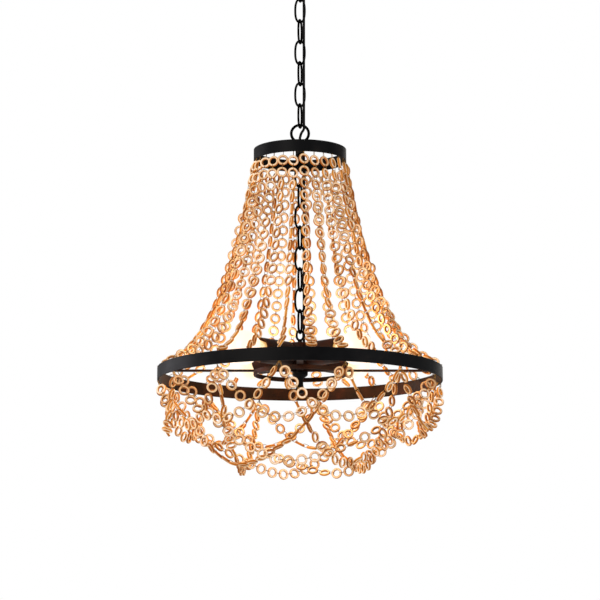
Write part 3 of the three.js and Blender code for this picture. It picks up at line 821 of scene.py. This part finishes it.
# %% [markdown]
# Each socket cup is a thin spun cup on a tapered back, with the lamp holder inside. Its
# profile is drawn as if the cup stood upright: the first number of each pair is the
# distance from the cup's own axis, and the second is the distance from the lamp's.

# %% Profile of a socket cup
cup_back = 21.3 * MM
cup_mouth = 102 * MM
cup_radius = 22 * MM
cup_inside = cup_radius - 1.6 * MM
holder_radius = 17 * MM
holder_end = 85 * MM
bore_radius = 14.4 * MM
bore_floor = 58 * MM
cup_profile = [(0, cup_back), (12 * MM, cup_back), (13 * MM, cup_back + 1 * MM),
               (cup_radius - 1 * MM, cup_back + 9 * MM), (cup_radius, cup_back + 11 * MM),
               (cup_radius, cup_mouth), (cup_inside, cup_mouth),
               (cup_inside, cup_back + 12 * MM), (holder_radius, cup_back + 9 * MM),
               (holder_radius, holder_end), (bore_radius, holder_end),
               (bore_radius, bore_floor), (0, bore_floor)]
print(f"a cup is {(cup_mouth - cup_back) / MM:.0f} mm deep and {2 * cup_radius / MM:.0f} across")

# %% [markdown]
# A bulb is a brass cap with a rolled thread and a frosted glass. The glass is a neck that
# runs smoothly into part of a sphere, so its line goes through points of both.

# %% Profiles of a bulb's glass and cap
glass_radius = 30 * MM
bulb_start = bore_floor + seat_gap
cap_end = bulb_start + 25 * MM
bulb_tip = bulb_start + 110 * MM
belly = bulb_tip - glass_radius
neck_points = [(12.8 * MM, cap_end, 0), (14.5 * MM, cap_end + 8 * MM, 0),
               (19.5 * MM, belly - 23 * MM, 0)]
sphere_part = [(glass_radius * math.cos(a), belly + glass_radius * math.sin(a), 0)
               for a in (math.radians(d) for d in range(-36, 88, 12))]
glass_line = curve_through(neck_points + sphere_part + [(near_axis, bulb_tip, 0)], 4)
glass_profile = ([(0, cap_end)] + [(p.x, min(p.y, bulb_tip)) for p in glass_line[:-1]]
                 + [(0, bulb_tip)])
cap_radius = 13 * MM
crest, root = 12.9 * MM, 12.1 * MM
thread = [(crest if n % 2 else root, bulb_start + 6 * MM + n * 1.8 * MM) for n in range(10)]
cap_profile = ([(0, bulb_start), (4.5 * MM, bulb_start), (6 * MM, bulb_start + 2 * MM),
                (12 * MM, bulb_start + 5 * MM)] + thread
               + [(cap_radius, cap_end - 0.4 * MM), (cap_radius, cap_end + 0.5 * MM),
                  (0, cap_end + 0.5 * MM)])
print(f"a bulb is {(bulb_tip - bulb_start) / MM:.0f} mm long, {2 * glass_radius / MM:.0f} across")

# %% [markdown]
# The four cups stand at 45 degrees to the spokes. The glowing glass alone would light the
# scene with a lot of noise, so a small warm light sits in each bulb. The glass casts no
# shadow, to let that light out.

# %% Socket cups and bulbs
warm_watts = 1.05
warm_radius = 24 * MM
lamp_height = middle("socket_cup_1").z
for number in range(1, 5):
    heading = math.pi / 4 + (number - 1) * math.pi / 2
    turn = (Matrix.Translation((0, 0, lamp_height)) @ Matrix.Rotation(heading, 4, "Z")
            @ Matrix.Rotation(math.pi / 2, 4, "Y"))
    piece(f"socket_cup_{number}_shell", moved(spun(cup_profile, 56), turn), lamp_glow_paint,
          LAMP, [f"socket_cup_{number}"], soften=0.3 * MM)
    glass = piece(f"bulb_{number}_glass", moved(spun(glass_profile, 48), turn), frosted_glass,
                  f"bulb_body_{number}", [f"bulb_{number}"])
    glass.visible_shadow = False
    warm = bpy.data.lights.new(f"warm_{number}", "POINT")
    warm.energy = warm_watts
    warm.color = linear("FFD084")[:3]
    warm.shadow_soft_size = warm_radius
    warm_light = bpy.data.objects.new(f"warm_{number}", warm)
    warm_light.location = turn @ Vector((0, 0, belly))
    bpy.context.scene.collection.objects.link(warm_light)
    piece(f"bulb_{number}_cap", moved(spun(cap_profile, 48), turn), brass_wire,
          f"bulb_body_{number}")

# %% [markdown]
# ## Spokes
#
# Flat strip again: two bars crossed in the middle, with a small rolled hoop under them
# and a bolt near each end. One bar lies a hundredth of a millimetre lower than the
# other, so that their top faces don't fight for the same place.

# %% Spokes, small hoop and bolts
spoke_top = high("spider").z
spoke_reach = high("spider").x
spoke_width = 12 * MM
spoke_foot = spoke_top - band
small_radius = 83 * MM
bolt_radius = 3.4 * MM
bolt_head = 2.2 * MM
bolt_inset = 7 * MM
cross = [bar(2 * spoke_reach, spoke_width, band, (0, 0, spoke_top - band / 2)),
         bar(spoke_width, 2 * spoke_reach, band, (0, 0, spoke_top - band / 2 - 0.01 * MM)),
         hoop(small_radius, spoke_foot - 7.5 * MM, spoke_foot + 0.4 * MM, 96)]
bolt = spun([(0, spoke_foot - bolt_head), (2.2 * MM, spoke_foot - bolt_head),
             (bolt_radius, spoke_foot - 1.2 * MM), (bolt_radius, spoke_foot),
             (0, spoke_foot)], 20)
for n in range(4):
    cross.append(moved(bolt, Matrix.Rotation(n * math.pi / 2, 4, "Z")
                       @ Matrix.Translation((spoke_reach - bolt_inset, 0, 0))))
piece("spoke_cross", together(*cross), lamp_glow_paint, LAMP, ["spider"],
      soften=0.4 * MM)

# %% [markdown]
# ## Big hoop
#
# The big hoop is rolled like the crown. The spun form lists its faces side by side: the
# foot, the outside, the top and last the inside, which is coloured warm brown as painted lamp
# glow.

# %% Big hoop
band_steps = 240
big_band = piece("big_band", hoop(hoop_radius, hoop_foot, hoop_top, band_steps),
                 painted_iron, LAMP, ["big_hoop"], soften=0.5 * MM)
big_band.data.materials.append(lamp_glow_paint)
sides_black, sides_lamp_glow = 3, 1
big_band.data.polygons.foreach_set(
    "material_index", [0] * sides_black * band_steps + [1] * sides_lamp_glow * band_steps)
# The inside is the black paint with painted lamp glow, coloured warm brown.
print("the hoop's inside is bronze:", band_steps, "faces")

# %% [markdown]
# ## Bead strands
#
# Every strand is the same thing: flat wooden rings on their edge, each joined to the
# next by an oval loop of brass wire through both holes. A ring's edges are rounded by the
# lathe, so its cross-section has eight corners instead of four.

# %% Measures of a wooden ring
ring_outer = 9.8 * MM
ring_hole = 5.9 * MM
ring_thick = 4.6 * MM
ring_pitch = 23.45 * MM
wire_diameter = 0.9 * MM
ring_steps = 20
ring_middle = (ring_outer + ring_hole) / 2
ring_half = (ring_outer - ring_hole) / 2
face_half = 0.5 * ring_half
section = [(ring_half, -0.28), (ring_half, 0.28), (face_half, 0.5), (-face_half, 0.5),
           (-ring_half, 0.28), (-ring_half, -0.28), (-face_half, -0.5), (face_half, -0.5)]
# How much painted rim shade and lamp glow each corner of the section gets.
section_rim_shade = [1.0, 1.0, 0.25, 0.25, 1.0, 1.0, 0.25, 0.25]
print(f"a ring is {2 * ring_outer / MM:.1f} mm across, one every {ring_pitch / MM:.2f} mm")

# %% [markdown]
# ### A strand as one mesh
#
# Hundreds of separate objects would be slow, and all would ride on the same body anyway.
# So one mesh takes a whole strand, and this class gathers its rings and wire loops. It
# marks each vertex with its ring's tone and with how near to the rim it lies, which is
# where the beech finish paints shade and lamp glow.

# %% Beadwork


class Beadwork:
    """The vertices, faces and marks of a whole strand or swag."""

    def __init__(self, seed):
        self.verts, self.faces, self.tones, self.rims, self.finishes = [], [], [], [], []
        self.chance = random.Random(seed)

    def add_ring(self, centre, along, face):
        across = face.cross(along).normalized()
        start = len(self.verts)
        tone = self.chance.random()
        for step in range(ring_steps):
            angle = 2 * math.pi * step / ring_steps
            outwards = math.cos(angle) * along + math.sin(angle) * across
            for (offset, height), mark in zip(section, section_rim_shade):
                self.verts.append(centre + (ring_middle + offset) * outwards
                                  + height * ring_thick * face)
                self.tones.append(tone)
                self.rims.append(mark)
        count = len(section)
        for step in range(ring_steps):
            here, there = start + step * count, start + (step + 1) % ring_steps * count
            for side in range(count):
                after = (side + 1) % count
                self.faces.append((here + side, there + side, there + after, here + after))
                self.finishes.append(0)

    def add_loop(self, centre, along, face, half_long, half_wide):
        steps, sides = 12, 5
        route = [centre + half_long * math.cos(a) * along + half_wide * math.sin(a) * face
                 for a in (2 * math.pi * n / steps for n in range(steps))]
        loop_verts, loop_faces = wire(route, wire_diameter, sides, closed=True)
        start = len(self.verts)
        self.verts += loop_verts
        self.tones += [0.5] * len(loop_verts)
        self.rims += [0.0] * len(loop_verts)
        self.faces += [tuple(start + corner for corner in f) for f in loop_faces]
        self.finishes += [1] * len(loop_faces)

    def finish(self, name, stands_for):
        obj = piece(name, (self.verts, self.faces), turned_wood, LAMP, stands_for)
        obj.data.materials.append(brass_wire)
        obj.data.polygons.foreach_set("material_index", self.finishes)
        for mark, values in (("tone", self.tones), ("rim", self.rims)):
            layer = obj.data.attributes.new(mark, "FLOAT", "POINT")
            layer.data.foreach_set("value", values)


# %% [markdown]
# ### Room for each ring
#
# Real rings can't pass through each other. So the room between a new ring and those
# hung before is measured, from middle line to middle line, at eighteen points. Rings
# that meet edge to edge need 3.9 mm, and flat on each other 4.6 mm. Most lie in between,
# so 4.1 mm counts as enough. A look at every ring would be slow, so hung rings are kept
# in cells of space, and only the near cells are searched.

# %% Room between rings
hung_rings, ring_rooms = {}, []
enough_room = 4.1 * MM
cell = 24 * MM
nothing_near = 1.0
rim_samples = [(math.cos(a), math.sin(a)) for a in (2 * math.pi * n / 18 for n in range(18))]


def cell_of(point):
    return tuple(int(math.floor(value / cell)) for value in point)


def closest_approach(centre, along, face):
    """The least distance from the middle line of one ring to those of the rings hung before."""
    across = face.cross(along).normalized()
    x, y, z = cell_of(centre)
    near = [other for i in (-1, 0, 1) for j in (-1, 0, 1) for k in (-1, 0, 1)
            for other in hung_rings.get((x + i, y + j, z + k), ())
            if (other[0] - centre).length < 2 * ring_outer + ring_thick]
    least = nothing_near
    for other_centre, other_face in near:
        for cosine, sine in rim_samples:
            offset = centre + ring_middle * (cosine * along + sine * across) - other_centre
            height = offset.dot(other_face)
            radial = (offset - height * other_face).length - ring_middle
            least = min(least, math.hypot(height, radial))
    return least


def hang(centre, face):
    hung_rings.setdefault(cell_of(centre), []).append((centre, face))


print(f"rings are {ring_thick / MM:.1f} mm thick; {enough_room / MM:.1f} mm of room is enough")

# %% [markdown]
# ### Places on a route
#
# A route is a list of close points. To set rings at an even spacing along it, the
# lengths between points are added up, and each ring's place is looked up in that sum.
# What is left over goes to the wires at the two ends.

# %% Even places
rounding = 1e-6


def even_places(route, least_wire, slide):
    """Where each ring sits on a route. The end wires share what is left, all but evenly."""
    sums = [0.0]
    for a, b in zip(route, route[1:]):
        sums.append(sums[-1] + (b - a).length)

    def at(distance):
        n = max(1, next((k for k, s in enumerate(sums) if s >= distance), len(sums) - 1))
        share = (distance - sums[n - 1]) / (sums[n] - sums[n - 1])
        return route[n - 1].lerp(route[n], share), (route[n] - route[n - 1]).normalized()

    count = int((sums[-1] - 2 * least_wire) / ring_pitch + rounding)
    spare = (sums[-1] - count * ring_pitch) / 2 + slide
    return [at(spare + (n + 0.5) * ring_pitch) for n in range(count)]


metre = [Vector((n / 10, 0, 0)) for n in range(11)]
print("a metre of route takes", len(even_places(metre, 0.0, 0.0)), "rings")

# %% [markdown]
# ### Wire between the rings
#
# An oval loop goes through the holes of two neighbours, and it lies half way between
# their two directions. A narrower loop holds each end of a strand to its hook.

# %% Loops between rings and at the ends
loop_half_wide = 2.9 * MM
end_half_wide = 1.1 * MM
end_reach_mm = 1.2
ring_gap = ring_pitch - 2 * ring_outer
loop_half_long = ring_gap / 2 + 2 * ring_half + wire_diameter


def join_rings(work, places, faces):
    for n in range(1, len(places)):
        middle_point = (places[n - 1][0] + places[n][0]) / 2
        along = (places[n][0] - places[n - 1][0]).normalized()
        alike = faces[n - 1].dot(faces[n]) > 0
        mixed = faces[n - 1] + faces[n] if alike else faces[n - 1] - faces[n]
        flat = (mixed - mixed.dot(along) * along).normalized()
        work.add_loop(middle_point, along, flat, loop_half_long, loop_half_wide)


def hook_end(work, centre, facing, end):
    towards = (end - centre).normalized()
    hole = centre + towards * (ring_hole - wire_diameter)
    tip = end + towards * end_reach_mm * MM
    flat = (facing - facing.dot(towards) * towards).normalized()
    work.add_loop((hole + tip) / 2, towards, flat,
                  (tip - hole).length / 2 + wire_diameter / 2, end_half_wide)


print(f"the wire loops are {2 * loop_half_long / MM:.1f} mm from bend to bend")

# %% [markdown]
# ### Rings on a route
#
# On the lamp the rings turn freely on their wires, so some face you and some show their
# edge. Neighbours lie nearly alike, for the wire holds them, until one has caught and
# the turn jumps. Random numbers with a fixed seed give that without any pattern that
# repeats. A ring with too little room is turned again, a little further each time, and
# the turn with the most room is kept. That isn't always enough: measured on the finished
# rings, 18 pairs of them press into each other, by 1.3 mm at most.

# %% String rings
most_tries = 20
wider_each_try = 5
wider_each_first_try = 2


def string_rings(work, route, face, least_wire, start_spread, turn_spread, jump_share,
                 jump_spread, memory, first_turns=(), most_slide=0.0):
    """Rings on a route, each turned nearly as the last one, with a wire loop between each two.

    A jump starts from the last turn times memory: with 0 it starts from the face again.
    """
    places = even_places(route, least_wire, work.chance.uniform(-most_slide, most_slide))
    turn = work.chance.gauss(0, start_spread)
    faces = []
    for n, (centre, along) in enumerate(places):
        flat = (face - face.dot(along) * along).normalized()
        if work.chance.random() < jump_share:
            turn = turn * memory + work.chance.gauss(0, jump_spread)
        choices = []
        for attempt in range(most_tries):
            if n < len(first_turns):
                tried = first_turns[n] + work.chance.gauss(0, attempt * wider_each_first_try)
            else:
                tried = turn + work.chance.gauss(0, turn_spread + attempt * wider_each_try)
            facing = Matrix.Rotation(math.radians(tried), 3, along) @ flat
            room = closest_approach(centre, along, facing)
            choices.append((min(room, enough_room), -attempt, tried, facing))
            if room >= enough_room:
                break
        room, _, chosen, facing = max(choices, key=lambda choice: choice[:2])
        if n >= len(first_turns):
            turn = chosen
        ring_rooms.append(room)
        faces.append(facing)
        hang(centre, facing)
        work.add_ring(centre, along, facing)
    join_rings(work, places, faces)
    hook_end(work, places[0][0], faces[0], route[0])
    hook_end(work, places[-1][0], faces[-1], route[-1])


# %% [markdown]
# ## The cage
#
# A strand of a given length between two points hangs as a catenary. Its one unknown is
# found by halving an interval until the curve is as long as the strand. A simulation
# would find the same line, only slower and less exactly.

# %% The line of a hanging strand
halvings = 80


def hanging_line(top, end, slack, steps=120):
    reach, drop = end.x - top.x, top.y - end.y
    length = math.hypot(reach, drop) * (1 + slack)
    wanted = math.sqrt(length ** 2 - drop ** 2) / reach
    least, most = 1e-6, 50.0
    for _ in range(halvings):
        half = (least + most) / 2
        if math.sinh(half) / half < wanted:
            least = half
        else:
            most = half
    scale = reach / (2 * least)
    lowest = (top.x + end.x) / 2 + scale * math.atanh(drop / length)
    level = top.y - scale * math.cosh((top.x - lowest) / scale)
    radii = [top.x + reach * n / steps for n in range(steps + 1)]
    return [(r, level + scale * math.cosh((r - lowest) / scale)) for r in radii]


strand_slack = 0.04
hook_reach = 1.8 * MM
strand_top = Vector((crown_radius - band / 2, crown_foot - 0.3 * MM))
strand_end = Vector((hoop_radius - band / 2, hoop_top + hook_reach))
cage_line = hanging_line(strand_top, strand_end, strand_slack)
print(f"a strand spans {(strand_end - strand_top).length / MM:.0f} mm")

# %% [markdown]
# The strands of the photograph show their first two rings face on, and then turn more and
# more freely. Each strand slides a little on its wires, so that the rows don't line up.

# %% Strands from the crown to the big hoop
strands = 28
anchor_angle = -8.1
bead_turn = 22
strand_seed = 100
least_strand_wire = 0.3 * MM
strand_slide = 2.4 * MM
first_turn_spreads = (5, 8)
strand_turns = {"start_spread": 45, "turn_spread": 14, "jump_share": 0.16,
                "jump_spread": 60, "memory": 1.0}


def outwards_at(degrees):
    angle = math.radians(degrees)
    return Vector((math.sin(angle), -math.cos(angle), 0))


for number in range(1, strands + 1):
    heading = anchor_angle + (number - 1) * 360 / strands
    outwards, turned_face = outwards_at(heading), outwards_at(heading + bead_turn)
    work = Beadwork(strand_seed + number)
    route = [outwards * r + Vector((0, 0, z)) for r, z in cage_line]
    first_turns = [work.chance.gauss(0, spread) for spread in first_turn_spreads]
    string_rings(work, route, turned_face, least_strand_wire, **strand_turns,
                 first_turns=first_turns, most_slide=strand_slide)
    work.finish(f"strand_{number:02d}_beads", [f"strand_{number:02d}"])
print("cage strung:", strands, "strands")

# %% [markdown]
# ## The skirt
#
# Short swags hang from every second hook, in two sets that pass in front of and behind
# each other. The long swags reach over to the far side and give the skirt its bowl. A
# swag is nearly a parabola, and a bow outwards or inwards keeps the two sets apart.

# %% The line of a swag
anchors = strands // 2
deep_lift_run = 45 * MM


def anchor(index, inset=0.0, rise=0.0):
    point = outwards_at(anchor_angle + index * 360 / anchors) * (hoop_radius - band / 2 - inset)
    point.z = hoop_foot - hook_reach + rise
    return point


def swag_line(start, end, sag, bow=0.0, lift=0.0, steps=80):
    sideways = (start + end) * Vector((1, 1, 0))
    sideways.normalize()
    half_chord = (end - start).length / 2
    line = []
    for n in range(steps + 1):
        along = 2 * n / steps - 1
        opening = 1 - along ** 2
        run = max(-1.0, min(1.0, along * half_chord / deep_lift_run))
        point = start.lerp(end, n / steps) + sideways * bow * opening
        point.z += lift * run * (1 - along ** 4) - sag * opening
        line.append(point)
    return line, sideways


print("swags hang from", anchors, "hooks")

# %% [markdown]
# The outer set bows outwards and the inner set inwards, by the same amount, so that they
# pass each other where they cross. In the swags a jump starts afresh from the face, and
# not from the last turn, so that no long run of rings shows nothing but its edge.

# %% Short swags under the big hoop
swag_sag = 90 * MM
swag_bow = 8.5 * MM
swag_seed = 310
short_span = 2
least_swag_wire = 5.4 * MM
swag_turns = {"start_spread": 38, "turn_spread": 10, "jump_share": 0.3,
              "jump_spread": 38, "memory": 0.0}

for first, bow, name, node in ((0, swag_bow, "outer_swags", "garland_outer"),
                               (1, -swag_bow, "inner_swags", "garland_inner")):
    work = Beadwork(swag_seed + first)
    for index in range(first, anchors, 2):
        line, sideways = swag_line(anchor(index), anchor(index + short_span), swag_sag, bow)
        string_rings(work, line, sideways, least_swag_wire, **swag_turns)
    work.finish(name, [node])

# %% [markdown]
# The long swags start from the hooks of the outer set, but a little further in and
# higher, so that their first rings clear those of the short swags. Each spans five hooks.

# %% Long swags across the middle
deep_sag = 150 * MM
deep_lift = 10 * MM
deep_seed = 410
deep_span = 5
deep_inset, deep_rise = 3.3 * MM, 4.8 * MM
deep_end_rise = -2.4 * MM
least_deep_wire = 10.8 * MM

work = Beadwork(deep_seed)
for index in range(0, anchors, 2):
    line, sideways = swag_line(anchor(index, deep_inset, deep_rise),
                               anchor(index + deep_span, 0, deep_end_rise),
                               deep_sag, 0.0, deep_lift)
    string_rings(work, line, sideways, least_deep_wire, **swag_turns)
work.finish("long_swags", ["garland_inner"])

crowded = sum(room < enough_room for room in ring_rooms)
print(f"rings hung: {len(ring_rooms)}, of which {crowded} found less than enough room")
print(f"the least room at the eighteen points is {min(ring_rooms) / MM:.2f} mm")
